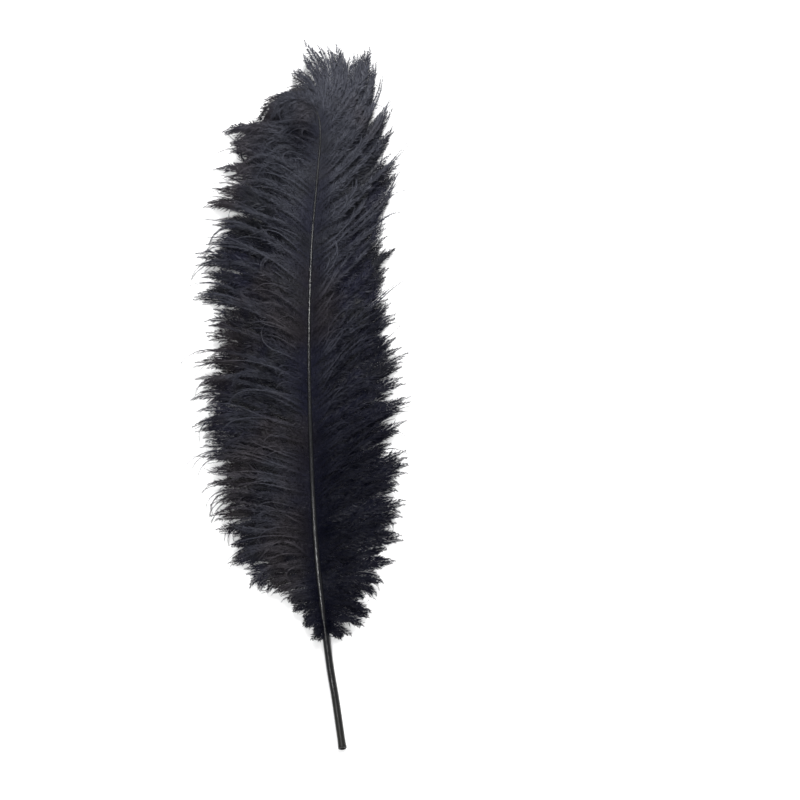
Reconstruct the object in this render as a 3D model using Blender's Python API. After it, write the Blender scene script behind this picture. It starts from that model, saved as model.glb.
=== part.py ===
"""A black-dyed ostrich feather, lying on a flat surface with its head curled over.

Metres, +Z up. +Y runs along the shaft from the cut quill to the head, and the feather rests on z = 0.
Shaft and vane are one piece: locks of barbs grow from both sides of the shaft and droop to the surface.
"""
import math

import bmesh
import bpy
from mathutils import Vector

MM = 0.001

# Sizes of the feather
QUILL_END = (0.02407, -0.18958)
QUILL_RADIUS = 2.0 * MM
RACHIS_TIP_RADIUS = 0.45 * MM
SHAFT_TAPER = 0.85
VANE_START = 63.0 * MM
LOCKS_A_SIDE = 31
LOCK_HALF_WIDTH = 5.6 * MM
LOCK_HALF_THICKNESS = 1.7 * MM
BAND_HALF_WIDTH = 9.0 * MM
BAND_HALF_THICKNESS = 0.7 * MM
BAND_DROP = 0.25 * MM
BAND_LEAD = 4.0 * MM
BAND_SHORTFALL = 3.0 * MM
CUT_SLOPE = math.radians(32.0)
END_FLARE = 0.25 * MM
FLARE_REACH = 5.0 * MM

# The shaft's middle line, in millimetres from the middle of the cut quill end: right, along, up
SHAFT_ROUTE = (
    (0.0, 0.0, 1.75),
    (-3.9, 27.0, 1.7),
    (-7.6, 50.5, 2.4),
    (-13.3, 101.0, 6.5),
    (-16.1, 155.0, 10.0),
    (-17.2, 212.0, 12.5),
    (-15.8, 263.0, 14.5),
    (-12.7, 300.0, 17.5),
    (-10.9, 320.0, 20.5),
    (-12.2, 333.0, 22.0),
    (-19.5, 340.0, 20.5),
    (-28.5, 339.5, 16.5),
)
ROUTE_STEPS = 24

# How the vane changes from its start (0) to the head (1): (place, value) pairs.
# Locks leave the shaft at an angle and bend on their way out, in degrees; their lengths are in millimetres.
LEAVING_LEFT = (
    (0.0, 84.0), (0.3, 62.0), (0.55, 50.0), (0.8, 46.0),
    (0.9, 56.0), (0.94, 62.0), (1.0, 26.0),
)
LEAVING_RIGHT = (
    (0.0, 84.0), (0.3, 60.0), (0.6, 46.0), (0.85, 48.0),
    (0.9, 50.0), (0.94, 14.0), (0.955, 8.0), (1.0, 4.0),
)
LENGTH_LEFT = (
    (0.0, 14.0), (0.07, 24.0), (0.14, 52.0), (0.35, 67.0),
    (0.65, 67.0), (0.84, 58.0), (0.93, 36.0), (1.0, 22.0),
)
LENGTH_RIGHT = (
    (0.0, 24.0), (0.1, 44.0), (0.35, 59.0), (0.65, 61.0),
    (0.86, 60.0), (0.92, 50.0), (0.94, 20.0), (0.96, 26.0), (1.0, 23.0),
)
BEND_LEFT = ((0.0, 22.0), (0.4, 34.0), (0.8, 42.0), (0.93, 40.0), (1.0, 50.0))
BEND_RIGHT = (
    (0.0, 22.0), (0.4, 0.0), (0.7, -12.0), (0.86, -50.0),
    (0.93, -62.0), (0.955, -90.0), (1.0, -85.0),
)
LOCK_WIDTH = ((0.0, 0.5), (0.12, 0.9), (0.3, 1.0), (0.75, 1.0), (0.9, 1.16), (1.0, 0.9))

# How far one lock may differ from the rule, either way
PLACE_CHANCE = 0.28
LEAVING_CHANCE = 5.0
BEND_CHANCE = 9.0
CURL = 14.0
CURL_CHANCE = 38.0
LENGTH_CHANCE = 0.1
ARCH = 5.0 * MM
ARCH_CHANCE = 2.2 * MM
TIP_HEIGHT = 1.1 * MM
TIP_HEIGHT_CHANCE = 1.3 * MM
SWAY_CHANCE = 7.0
SWAY_PHASE_CHANCE = 3.0
WIDTH_CHANCE = 0.14

# How a lock changes from its root (0) to its tip (1), as shares of its full width
LOCK_SHAPE = ((0.0, 0.42), (0.16, 0.85), (0.4, 1.0), (0.65, 0.96), (0.84, 0.68), (1.0, 0.05))
LOCK_STEPS = 40
LOCK_RINGS = 7
BEND_GROWTH = 1.2
CURL_START = 0.7
SWAY_ALONG = 7.0
SHAFT_RINGS = 26
SHAFT_SIDES = 10

# The band beside the shaft, as shares of its full width: at its ends, and how fast it widens and narrows
BAND_END = 0.12
BAND_WIDENING = 6.0
BAND_NARROWING = 5.0

DYE = (0.016, 0.016, 0.022, 1.0)
WELD = 0.01 * MM
CREASE_ANGLE = math.radians(40.0)


def scatter(index, channel):
    """A repeatable number from -1 to 1 for one lock and one of its properties."""
    value = math.sin(index * 12.9898 + channel * 78.233) * 43758.5453
    return 2.0 * (value - math.floor(value)) - 1.0


def along(stops, place):
    """Reads (place, value) pairs as a curve with soft corners."""
    for (before, low), (after, high) in zip(stops, stops[1:]):
        if place <= after:
            share = (place - before) / (after - before)
            share = share * share * (3.0 - 2.0 * share) * 0.5 + share * 0.5
            return low + (high - low) * share
    return stops[-1][1]


def smooth_route(points, steps):
    """A smooth curve through the points, with `steps` pieces between each two."""
    ends = [points[0] * 2.0 - points[1]] + points + [points[-1] * 2.0 - points[-2]]
    route = []
    for a, b, c, d in zip(ends, ends[1:], ends[2:], ends[3:]):
        for step in range(steps):
            t = step / steps
            route.append(
                0.5 * (2.0 * b + (c - a) * t + (2.0 * a - 5.0 * b + 4.0 * c - d) * t * t
                       + (3.0 * b - a - 3.0 * c + d) * t ** 3)
            )
    route.append(points[-1])
    return route


class Shaft:
    """The shaft's middle line, read by the distance from the quill end."""

    def __init__(self):
        start = Vector((QUILL_END[0], QUILL_END[1], 0.0))
        self.points = smooth_route([start + Vector(p) * MM for p in SHAFT_ROUTE], ROUTE_STEPS)
        self.places = [0.0]
        for a, b in zip(self.points, self.points[1:]):
            self.places.append(self.places[-1] + (b - a).length)
        self.length = self.places[-1]

    def at(self, distance):
        """The point and the direction at a distance along the shaft."""
        distance = min(max(distance, 0.0), self.length)
        for i in range(len(self.points) - 1):
            if distance <= self.places[i + 1]:
                break
        span = self.points[i + 1] - self.points[i]
        share = (distance - self.places[i]) / (self.places[i + 1] - self.places[i])
        return self.points[i] + span * share, span.normalized()

    def radius(self, distance):
        """Even along the quill but for its flared end, then an even taper to the head."""
        flare = END_FLARE * max(0.0, 1.0 - distance / FLARE_REACH)
        share = max(0.0, distance - VANE_START) / (self.length - VANE_START)
        return QUILL_RADIUS + flare + (RACHIS_TIP_RADIUS - QUILL_RADIUS) * share ** SHAFT_TAPER


SHAFT = Shaft()


def lock_route(side, index):
    """The points along one lock's middle, from inside the shaft to its tip."""
    key = index * 2 + (side > 0)
    place = (index + 0.5 + PLACE_CHANCE * scatter(key, 1)) / LOCKS_A_SIDE
    root, ahead = SHAFT.at(VANE_START + (SHAFT.length - VANE_START) * place)
    heading = math.atan2(ahead.y, ahead.x)
    leaving = along(LEAVING_RIGHT if side > 0 else LEAVING_LEFT, place) + LEAVING_CHANCE * scatter(key, 2)
    bend = along(BEND_RIGHT if side > 0 else BEND_LEFT, place) + BEND_CHANCE * scatter(key, 3)
    curl = CURL + CURL_CHANCE * scatter(key, 4)
    length = along(LENGTH_RIGHT if side > 0 else LENGTH_LEFT, place) * MM
    length *= 1.0 + LENGTH_CHANCE * scatter(key, 5)
    arch = ARCH + ARCH_CHANCE * scatter(key, 6)
    tip_height = TIP_HEIGHT + TIP_HEIGHT_CHANCE * scatter(key, 7)
    sway = SWAY_CHANCE * scatter(key, 8)
    points = [root]
    spot = root.copy()
    for step in range(LOCK_STEPS):
        t = (step + 0.5) / LOCK_STEPS
        turn = leaving + bend * t ** BEND_GROWTH + curl * max(0.0, (t - CURL_START) / (1.0 - CURL_START)) ** 2
        turn += sway * math.sin(SWAY_ALONG * t + SWAY_PHASE_CHANCE * scatter(key, 9))
        angle = heading - side * math.radians(turn)
        spot = spot + Vector((math.cos(angle), math.sin(angle), 0.0)) * (length / LOCK_STEPS)
        t = (step + 1) / LOCK_STEPS
        fall = t * t * (3.0 - 2.0 * t)
        spot.z = root.z + (tip_height - root.z) * fall + arch * math.sin(math.pi * t) * (1.0 - 0.5 * t)
        points.append(spot.copy())
    return points


def collection(name):
    made = bpy.data.collections.new(name)
    bpy.context.scene.collection.children.link(made)
    return made


def remove_object(obj):
    data = obj.data
    bpy.data.objects.remove(obj)
    if isinstance(data, bpy.types.Mesh):
        bpy.data.meshes.remove(data)
    else:
        bpy.data.curves.remove(data)


def section(name, corners):
    """A closed flat outline that a swept piece takes as its cross section."""
    curve = bpy.data.curves.new(name, "CURVE")
    curve.dimensions = "2D"
    spline = curve.splines.new("POLY")
    spline.points.add(len(corners) - 1)
    for point, (x, y) in zip(spline.points, corners):
        point.co = (x, y, 0.0, 1.0)
    spline.use_cyclic_u = True
    obj = bpy.data.objects.new(name, curve)
    guides.objects.link(obj)
    return obj


def swept(name, points, radii, outline):
    """Sweeps the outline along the points and returns it as a closed mesh object."""
    curve = bpy.data.curves.new(name, "CURVE")
    curve.dimensions = "3D"
    curve.twist_mode = "Z_UP"
    curve.bevel_mode = "OBJECT"
    curve.bevel_object = outline
    curve.use_fill_caps = True
    spline = curve.splines.new("POLY")
    spline.points.add(len(points) - 1)
    for target, point, radius in zip(spline.points, points, radii):
        target.co = (*point, 1.0)
        target.radius = radius
    path = bpy.data.objects.new(name, curve)
    guides.objects.link(path)
    evaluated = path.evaluated_get(bpy.context.evaluated_depsgraph_get())
    mesh = bpy.data.meshes.new_from_object(evaluated)
    remove_object(path)
    cage = bmesh.new()
    cage.from_mesh(mesh)
    bmesh.ops.remove_doubles(cage, verts=cage.verts, dist=WELD)
    bmesh.ops.recalc_face_normals(cage, faces=cage.faces)
    cage.to_mesh(mesh)
    cage.free()
    obj = bpy.data.objects.new(name, mesh)
    guides.objects.link(obj)
    return obj


def evenly(points, count):
    """`count` of the points, evenly spaced along the list."""
    last = len(points) - 1
    return [points[round(last * i / (count - 1))] for i in range(count)]


def ring(sides, radius):
    """The corners of an even polygon with a flat side below."""
    turn = 2.0 * math.pi / sides
    return [(radius * math.sin(turn * (i + 0.5)), radius * math.cos(turn * (i + 0.5))) for i in range(sides)]


def flat_ring(half_width, half_thickness):
    """The corners of a flattened six-sided section."""
    inner = half_width * 0.5
    return [
        (half_width, 0.0), (inner, half_thickness), (-inner, half_thickness),
        (-half_width, 0.0), (-inner, -half_thickness), (inner, -half_thickness),
    ]


def make_shaft():
    outline = section("shaft_section", ring(SHAFT_SIDES, 1.0 * MM))
    stations = [0.0, FLARE_REACH]
    for i in range(SHAFT_RINGS):
        stations.append(2.0 * FLARE_REACH + (SHAFT.length - 2.0 * FLARE_REACH) * i / (SHAFT_RINGS - 1))
    points = [SHAFT.at(s)[0] for s in stations]
    radii = [SHAFT.radius(s) / MM for s in stations]
    return swept("feather", points, radii, outline)


def make_band():
    """The dense part of the vane beside the shaft, which the locks grow out of."""
    outline = section("band_section", flat_ring(BAND_HALF_WIDTH, BAND_HALF_THICKNESS))
    first = VANE_START - BAND_LEAD
    last = SHAFT.length - BAND_SHORTFALL
    points = []
    radii = []
    for i in range(SHAFT_RINGS):
        share = i / (SHAFT_RINGS - 1)
        point = SHAFT.at(first + (last - first) * share)[0]
        points.append(point - Vector((0.0, 0.0, BAND_DROP)))
        radii.append(max(BAND_END, min(1.0, BAND_WIDENING * share, BAND_NARROWING * (1.0 - share))))
    return swept("band", points, radii, outline)


def make_locks():
    outline = section("lock_section", flat_ring(LOCK_HALF_WIDTH, LOCK_HALF_THICKNESS))
    locks = []
    for side in (-1, 1):
        for index in range(LOCKS_A_SIDE):
            points = evenly(lock_route(side, index), LOCK_RINGS)
            wide = along(LOCK_WIDTH, index / (LOCKS_A_SIDE - 1))
            wide *= 1.0 + WIDTH_CHANCE * scatter(index * 2 + (side > 0), 10)
            radii = [wide * along(LOCK_SHAPE, i / (LOCK_RINGS - 1)) for i in range(LOCK_RINGS)]
            locks.append(swept(f"lock_{len(locks) + 1:02d}", points, radii, outline))
    return locks


def block(name, size, place, tilt=0.0):
    bpy.ops.mesh.primitive_cube_add(size=size)
    obj = bpy.context.object
    obj.name = name
    obj.location = place
    obj.rotation_euler = (tilt, 0.0, 0.0)
    for owner in list(obj.users_collection):
        owner.objects.unlink(obj)
    guides.objects.link(obj)
    return obj


def make_surface_cut():
    """All that would reach below the surface that the feather lies on."""
    return block("surface_cut", 1.0, (0.0, 0.0, -0.5))


def make_quill_cut():
    """The slanting snip across the end of the quill, which faces back and up."""
    size = 10.0 * QUILL_RADIUS
    facing = Vector((0.0, -math.cos(CUT_SLOPE), math.sin(CUT_SLOPE)))
    middle = SHAFT.at(QUILL_RADIUS * math.tan(CUT_SLOPE))[0]
    return block("quill_cut", size, middle + facing * size / 2.0, -CUT_SLOPE)


def fill_pockets(mesh):
    """Fills the closed pockets between overlapping locks and takes off flaps with no thickness."""
    cage = bmesh.new()
    cage.from_mesh(mesh)
    unread = set(cage.faces)
    shells = []
    while unread:
        shell = {unread.pop()}
        border = set(shell)
        while border:
            near = {f for face in border for edge in face.edges for f in edge.link_faces}
            border = near - shell
            shell |= border
        unread -= shell
        shells.append(shell)
    outside = max(shells, key=len)
    inner = [face for shell in shells if shell is not outside for face in shell]
    bmesh.ops.delete(cage, geom=inner, context="FACES")
    by_corners = {}
    for face in cage.faces:
        by_corners.setdefault(frozenset(face.verts), []).append(face)
    flaps = [face for same in by_corners.values() if len(same) > 1 for face in same]
    bmesh.ops.delete(cage, geom=flaps, context="FACES")
    cage.to_mesh(mesh)
    cage.free()


def joined(obj, operation, others):
    """Unites the object with the others, or cuts them from it, and removes them."""
    group = collection("operands")
    for other in others:
        group.objects.link(other)
    modifier = obj.modifiers.new("join", "BOOLEAN")
    modifier.operation = operation
    modifier.solver = "EXACT"
    modifier.operand_type = "COLLECTION"
    modifier.collection = group
    bpy.context.view_layer.update()
    evaluated = obj.evaluated_get(bpy.context.evaluated_depsgraph_get())
    mesh = bpy.data.meshes.new_from_object(evaluated)
    fill_pockets(mesh)
    obj.modifiers.clear()
    old = obj.data
    obj.data = mesh
    bpy.data.meshes.remove(old)
    for other in others:
        remove_object(other)
    bpy.data.collections.remove(group)


def dyed_keratin():
    """Black-dyed horn and barbs with a faint blue-violet cast."""
    material = bpy.data.materials.new("black_dyed_feather")
    material.use_nodes = True
    shader = material.node_tree.nodes["Principled BSDF"]
    shader.inputs["Base Color"].default_value = DYE
    shader.inputs["Roughness"].default_value = 0.55
    shader.inputs["Metallic"].default_value = 0.0
    material.diffuse_color = DYE
    return material


for leftover in list(bpy.data.objects):
    bpy.data.objects.remove(leftover)

parts = collection("ostrich_feather")
guides = collection("guides")

feather = make_shaft()
joined(feather, "UNION", [make_band()] + make_locks())
joined(feather, "DIFFERENCE", [make_surface_cut(), make_quill_cut()])

guides.objects.unlink(feather)
parts.objects.link(feather)
feather.name = "feather"
feather.data.name = "feather"
feather.data.shade_smooth()
feather.data.set_sharp_from_angle(angle=CREASE_ANGLE)
feather.data.materials.clear()
feather.data.materials.append(dyed_keratin())
for guide in list(guides.objects):
    remove_object(guide)
bpy.data.collections.remove(guides)
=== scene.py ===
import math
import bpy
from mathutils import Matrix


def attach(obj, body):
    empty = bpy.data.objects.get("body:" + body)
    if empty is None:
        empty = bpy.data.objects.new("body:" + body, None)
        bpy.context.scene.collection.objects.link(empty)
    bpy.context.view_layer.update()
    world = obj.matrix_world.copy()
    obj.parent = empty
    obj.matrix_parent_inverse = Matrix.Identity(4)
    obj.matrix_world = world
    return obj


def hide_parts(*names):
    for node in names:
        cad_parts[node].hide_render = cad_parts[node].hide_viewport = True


bl_info = {
    "name": "Ostrich Feather",
    "version": (1, 0, 0),
    "blender": (4, 5, 0),
    "location": "View3D > Sidebar > Feather",
    "description": "Dresses a black-dyed ostrich feather: glossy shaft, barbs, barbules and a plain stage",
    "category": "Add Mesh",
}

import bpy
import numpy as np
from bpy.props import FloatProperty, FloatVectorProperty, IntProperty, PointerProperty
from mathutils import Vector

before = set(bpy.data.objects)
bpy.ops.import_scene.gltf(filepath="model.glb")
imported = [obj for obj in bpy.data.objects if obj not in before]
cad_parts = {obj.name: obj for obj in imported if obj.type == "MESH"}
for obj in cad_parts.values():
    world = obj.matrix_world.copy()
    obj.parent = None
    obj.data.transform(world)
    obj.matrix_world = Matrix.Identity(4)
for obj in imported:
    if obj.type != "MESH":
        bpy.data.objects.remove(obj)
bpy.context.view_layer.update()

MM = 0.001
NODE = "feather"
BODY = "root"

# Sizes that the solid has too, and the numbers that its chance comes from
QUILL_END = (0.02407, -0.18958)
QUILL_RADIUS = 2.0 * MM
RACHIS_TIP_RADIUS = 0.45 * MM
TAPER_GROWTH = 0.85
VANE_START = 63.0 * MM
LOCKS_A_SIDE = 31
SCATTER_STEPS = (12.9898, 78.233)
SCATTER_SCALE = 43758.5453
CUT_SLOPE = math.radians(32.0)
END_FLARE = 0.25 * MM
FLARE_REACH = 5.0 * MM
SHAFT_ROUTE = (
    (0.0, 0.0, 1.75),
    (-3.9, 27.0, 1.7),
    (-7.6, 50.5, 2.4),
    (-13.3, 101.0, 6.5),
    (-16.1, 155.0, 10.0),
    (-17.2, 212.0, 12.5),
    (-15.8, 263.0, 14.5),
    (-12.7, 300.0, 17.5),
    (-10.9, 320.0, 20.5),
    (-12.2, 333.0, 22.0),
    (-19.5, 340.0, 20.5),
    (-28.5, 339.5, 16.5),
)
ROUTE_STEPS = 24
LEAVING_LEFT = (
    (0.0, 84.0), (0.3, 62.0), (0.55, 50.0), (0.8, 46.0),
    (0.9, 56.0), (0.94, 62.0), (1.0, 26.0),
)
LEAVING_RIGHT = (
    (0.0, 84.0), (0.3, 60.0), (0.6, 46.0), (0.85, 48.0),
    (0.9, 50.0), (0.94, 14.0), (0.955, 8.0), (1.0, 4.0),
)
LENGTH_LEFT = (
    (0.0, 14.0), (0.07, 24.0), (0.14, 52.0), (0.35, 67.0),
    (0.65, 67.0), (0.84, 58.0), (0.93, 36.0), (1.0, 22.0),
)
LENGTH_RIGHT = (
    (0.0, 24.0), (0.1, 44.0), (0.35, 59.0), (0.65, 61.0),
    (0.86, 60.0), (0.92, 50.0), (0.94, 20.0), (0.96, 26.0), (1.0, 23.0),
)
BEND_LEFT = ((0.0, 22.0), (0.4, 34.0), (0.8, 42.0), (0.93, 40.0), (1.0, 50.0))
BEND_RIGHT = (
    (0.0, 22.0), (0.4, 0.0), (0.7, -12.0), (0.86, -50.0),
    (0.93, -62.0), (0.955, -90.0), (1.0, -85.0),
)
BARB_STEPS = 40

# How the solid's locks differ: a habit, its usual value, and the most that chance adds or takes away.
# The channel before the first one is for the locks' places in the solid
FIRST_CHANNEL = 2
LOCK_CHANCES = (
    ("leaving", 0.0, 5.0),
    ("bend", 0.0, 9.0),
    ("curl", 14.0, 38.0),
    ("stretch", 1.0, 0.1),
    ("arch", 5.0, 2.2),
    ("tip_height", 1.1, 1.3),
    ("sway", 0.0, 7.0),
    ("phase", 0.0, 3.0),
)

# How a barb's turning and height go along it, from 0 at its root to 1 at its tip
BEND_GROWTH = 1.2
CURL_FROM = 0.7
CURL_GROWTH = 2.0
SWAY_RADIANS = 7.0
LOOP_FROM = 0.5
LOOP_GROWTH = 1.5
ARCH_LEAN = 0.5
RIPPLE_LENGTH = 15.0 * MM
RIPPLE_START = (0.08, 0.3)

# Stretches of the vane, as places along it from 0 at its lower end to 1 at the head
BASE_END = 0.14
FLUFF_END = 0.2
LOOSE_END = 0.25
CROWD_START = (0.8, 0.92)
HEAD_START = (0.86, 0.96)
CROWN_START = (0.93, 0.97)

# How much the strands take after the locks beside them, above the others and under them. The last
# spot is just short of the last lock, so that there is always one beyond it
USUAL = {"leaving": 0.0, "bend": 0.0, "curl": 14.0, "stretch": 1.0, "sway": 0.0}
LIKENESS = 0.6
UNDER_LIKENESS = 0.1
LAST_SPOT = LOCKS_A_SIDE - 1.001

# How strands differ from their locks, and barbs from their strand: angles in degrees, heights in
# millimetres, lengths as shares, and the share that runs wild
STRAND_CHANGE = {
    "leaving": 2.0, "bend": 7.0, "curl": 26.0, "sway": 5.0, "loop": 23.0,
    "wild": 0.02, "length": (0.88, 1.14), "ragged_base": 0.5,
    "arch": (-1.6, 1.8), "tip_height": (-0.8, 3.0), "ripple": (0.2, 0.7), "ripple_phase": 3.1,
}
BARB_CHANGE = {
    "leaving": 2.2, "bend": 7.0, "curl": 26.0, "sway": 3.0, "loop": 18.0,
    "wild": 0.03, "length": (0.84, 1.03), "ragged_base": 0.4,
    "arch": (-0.4, 0.4), "tip_height": (-0.5, 1.0), "ripple": (-0.1, 0.1), "ripple_phase": 0.3,
}
LOOSER_BASE = 3.0
TIDY_HEAD = 0.7
PHASE_CHANGE = 2.5
WILD_TURN = 190.0
LOWEST_TIP = 0.4
LOWEST_BARB = 0.3 * MM

# Every second strand lies under the others: flat and even, so that the vane is closed between the wisps,
# and painted darker as shade under them; raised wisps are painted lighter as if lit. Tones go from 0,
# darkest, to 1
STRANDS_A_LOCK = 6
HEAD_CROWD = 1.3
CROWD_STEPS = 61
SPACING = (0.15, 0.85)
UNDER_CALM = 0.14
UNDER_LOOSE_ENDS = 0.7
UNDER_DEPTH = 2.2
UNDER_LENGTH = 0.92
UNDER_SHADE_TONE = 0.24
OVER_TONE = 0.54
RISE_LIGHT_TONE = 0.13
STRAND_TONE_CHANGE = 0.1
BARB_TONE_CHANGE = 0.06
CROWN_LOOSE = 1.2

# Where the barbs of a strand stand, how firmly they cling to it, and from where along them
BARB_SPACING = (0.1, 0.9)
CLING = (0.5, 0.92)
LOOSE_CLING = 0.1
CLING_START = (0.12, 0.55)

# How the wisps hook and droop, in degrees, by place along the vane, and the most of a hook that one takes
HOOK_LEFT = ((0.0, 34.0), (0.3, 30.0), (0.7, 26.0), (0.9, 22.0), (1.0, 6.0))
HOOK_RIGHT = ((0.0, 34.0), (0.2, 26.0), (0.42, 12.0), (0.6, -26.0), (0.85, -40.0), (1.0, -10.0))
MOST_HOOK = 2.0
BASE_DROOP = 38.0
HEAD_DROOP_LEFT = ((0.0, 0.0), (0.78, 0.0), (0.88, 26.0), (0.94, 34.0), (1.0, 30.0))

# Some wisps end early: their ends lie on top of the others
EARLY_SHARE = 0.42
EARLY_END = (0.42, 0.86)
EARLY_HEIGHT = 1.3
LOWEST_EARLY_TIP = 1.0

# One barb of each wisp runs free of it on top, slim and painted paler as if lit on top; halfway up the right
# side there are two, which rise steeply and then hook outward
FREE_BARBS = 1
FREE_TURN = 46.0
FREE_RISE = (0.4, 1.8)
FREE_EARLY = 0.7
FREE_LIGHT_TONE = 0.3
STEEP_RIGHT = ((0.0, 0.0), (0.2, 0.0), (0.3, 1.0), (0.56, 1.0), (0.7, 0.0), (1.0, 0.0))
STEEP_RISE = 42.0
STEEP_HOOK = 62.0

# The barbs' stems: a hair with three sides
STEM_RINGS = 15
STEM_SIDES = 3
STEM_TURN = 0.5
STEM_RADIUS = 0.17
STEM_TAPER = 0.13
STEM_TAPER_GROWTH = 0.7
LOWEST_STEM = 0.05 * MM

# The barbules: how many at least, how they stand off from their barb in degrees, how they roll round it in
# radians, and how their length and width vary
FEWEST_BARBULES = 8
FIRST_BARBULE = 0.015
OUTER_START = (0.08, 0.5)
STAND_OFF = 38.0
STAND_OFF_LESS = 24.0
STAND_OFF_LESS_UNDER = 8.0
STAND_OFF_LESS_FREE = 5.0
STAND_OFF_MORE_BASE = 8.0
STAND_OFF_CHANGE = 5.0
STRAY_STAND_OFF = (8.0, 36.0)
FREE_STRAYS = 0.3
ROLL = 0.2
ROLL_MORE = 0.8
ROLL_MORE_UNDER = 0.1
BARBULE_LENGTHS = (0.6, 1.1)
ROOT_LENGTH = 0.8
TIP_SHORTER = 0.75
TIP_START = (0.6, 1.0)
TIP_START_UNDER = (0.8, 1.0)
BASE_SHORTER = 0.3
STRAY_LONGER = 0.2
FREE_LENGTH = 0.62
UNDER_BARBULE_LENGTH = 1.2
MIDDLE_SHARE = 0.45
LEAN_AHEAD = 0.5
LEAN_DOWN = 0.12
LEAN_CHANGE = 0.2
FACING_CHANGE = 0.22
TIP_SLIMMER = 0.45
SLIM_START = (0.7, 1.0)
UNDER_WIDTH = 2.1
LOWEST_BARBULE = 0.04
LOWEST_CHANGE = 0.25
BARBULE_TONE_CHANGE = 0.06

# The flat map: each barb has a cell, with its barbules' places across it on either hand of the stem
MAP_COLUMNS = 4
CELL_MARGIN = 0.06
STEM_ACROSS = (0.46, 0.54, 0.5)
BARBULE_ACROSS = (0.04, 0.24, 0.5, 0.24)
BARBULE_ALONG = (0.0, -0.012, 0.0, 0.012)
MAP_EDGE = 0.02

# The shaft's rings, its slanting hollow end in millimetres, and its squarish outline with a groove below
SHAFT_SIDES = 28
CUT_RINGS = 14
CUT_REACH = 12.0
PLAIN_RINGS = 130
PLAIN_START = 14.0
BORE_SHARE = 0.72
BORE_LIP = 0.1
BORE_DEPTHS = (7.0, 4.0, 1.5, 0.0)
BORE_POINT = 1.0
HEAD_POINT = 0.6
SQUARENESS = 0.16
SQUARE_START = (0.1, 0.45)
GROOVE_DEPTH = 0.34
GROOVE_START = (0.16, 0.4)
GROOVE_SHARPNESS = 10

# Where the finish, its painted light and its painted shade change: across the feather in metres, along the
# vane, out from the shaft, along the shaft in millimetres, and round the hollow below the crooked head, with
# its painted shadow and the painted highlight ringing it
RIGHT_SIDE = (-0.01, 0.03)
LOW_PART = (0.1, 0.62)
HEAD_PART = (0.5, 0.95)
BESIDE_SHAFT = (0.05, 0.3)
OUTER_PART = (0.3, 0.95)
BARE_PART = (0.0, 62.0)
FINE_PART = (255.0, 310.0)
CROOK_SHAPE = (1.0, 0.8, 0.0)
CROOK_MIDDLE = (0.0027, 0.1066, 0.0)
CROOK_SHADE_REACH = (0.003, 0.011)
CROOK_HIGHLIGHT_RING = ((0.011, 0.014), (0.018, 0.023))

# The finish's clouds, each with scale, detail and roughness, and where they and the tones take hold; the dip
# cloud and the hollow and dip tones place painted shade
DYE_CLOUD = (52.0, 3.0, 0.6)
WARM_CLOUD = (24.0, 2.0, 0.5)
SHADE_DIP_CLOUD = (64.0, 2.0, 0.5)
STREAK_CLOUD = (3.0, 4.0, 0.6)
FINE_CLOUD = (2.0, 3.0, 0.6)
COOL_STEP = (0.36, 0.6)
WARM_STEP = (0.54, 0.74)
SHADE_DIP_STEP = (0.34, 0.48)
STREAK_STEP = (0.4, 0.66)
FINE_STEP = (0.25, 0.6)
END_TONES = (0.35, 0.65)
HOLLOW_SHADE_TONES = (0.6, 0.8)
SHADE_DIP_TONES = (0.6, 0.78)

# The photograph's frame: where the quill end is in its 800 pixels, and how much one of them covers
PICTURE_SIDE = 800
QUILL_PIXEL = (343, 750)
PIXEL = 0.53 * MM
LENS = 65.0
SENSOR = 36.0

# The stage, in metres: half the floor's side, and each light's setting, size and place
FLOOR_HALF = 3.0
LIGHTS = (
    ("key", "key_power", (0.4, 0.4), (0.2, 0.85, 0.75)),
    ("upper_glint", "upper_glint", (0.12, 0.1), (-0.1, 0.065, 1.1)),
    ("lower_glint", "lower_glint", (0.12, 0.13), (-0.1, -0.38, 1.1)),
)

# What each side of the vane follows, -1 left and 1 right, and the stretches of locks it is made in
SIDES = {
    -1: {"leaving": LEAVING_LEFT, "bend": BEND_LEFT, "length": LENGTH_LEFT, "hook": HOOK_LEFT},
    1: {"leaving": LEAVING_RIGHT, "bend": BEND_RIGHT, "length": LENGTH_RIGHT, "hook": HOOK_RIGHT},
}
STRETCHES = (("base", 0, 8), ("lower", 8, 16), ("upper", 16, 24), ("head", 24, LOCKS_A_SIDE))
FIRST_SEED = 100
UP = np.array((0.0, 0.0, 1.0))


def scatter(index, channel):
    """A repeatable number from -1 to 1 for one lock and one of its properties."""
    value = math.sin(index * SCATTER_STEPS[0] + channel * SCATTER_STEPS[1]) * SCATTER_SCALE
    return 2.0 * (value - math.floor(value)) - 1.0


def along(stops, place):
    """Reads (place, value) pairs as a curve with soft corners, for one place or many."""
    places = np.clip(np.asarray(place, dtype=float), 0.0, 1.0)
    result = np.full(places.shape, float(stops[-1][1]))
    for (before, low), (after, high) in reversed(list(zip(stops, stops[1:]))):
        share = np.clip((places - before) / (after - before), 0.0, 1.0)
        share = share * share * (3.0 - 2.0 * share) * 0.5 + share * 0.5
        result = np.where(places <= after, low + (high - low) * share, result)
    return result


def soft_step(low, high, value):
    """0 below low, 1 above high, and a smooth rise between."""
    share = np.clip((value - low) / (high - low), 0.0, 1.0)
    return share * share * (3.0 - 2.0 * share)


def late(start, growth, t):
    """0 up to the start, then a rise to 1 at the tip."""
    return np.clip((t - start) / (1.0 - start), 0.0, None) ** growth


def arched(t):
    """A barb's arch above its straight fall: 0 at both ends and highest before the middle."""
    return np.sin(math.pi * t) * (1.0 - ARCH_LEAN * t)


def unit(vectors):
    return vectors / np.maximum(np.linalg.norm(vectors, axis=-1, keepdims=True), 1e-12)


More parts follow.
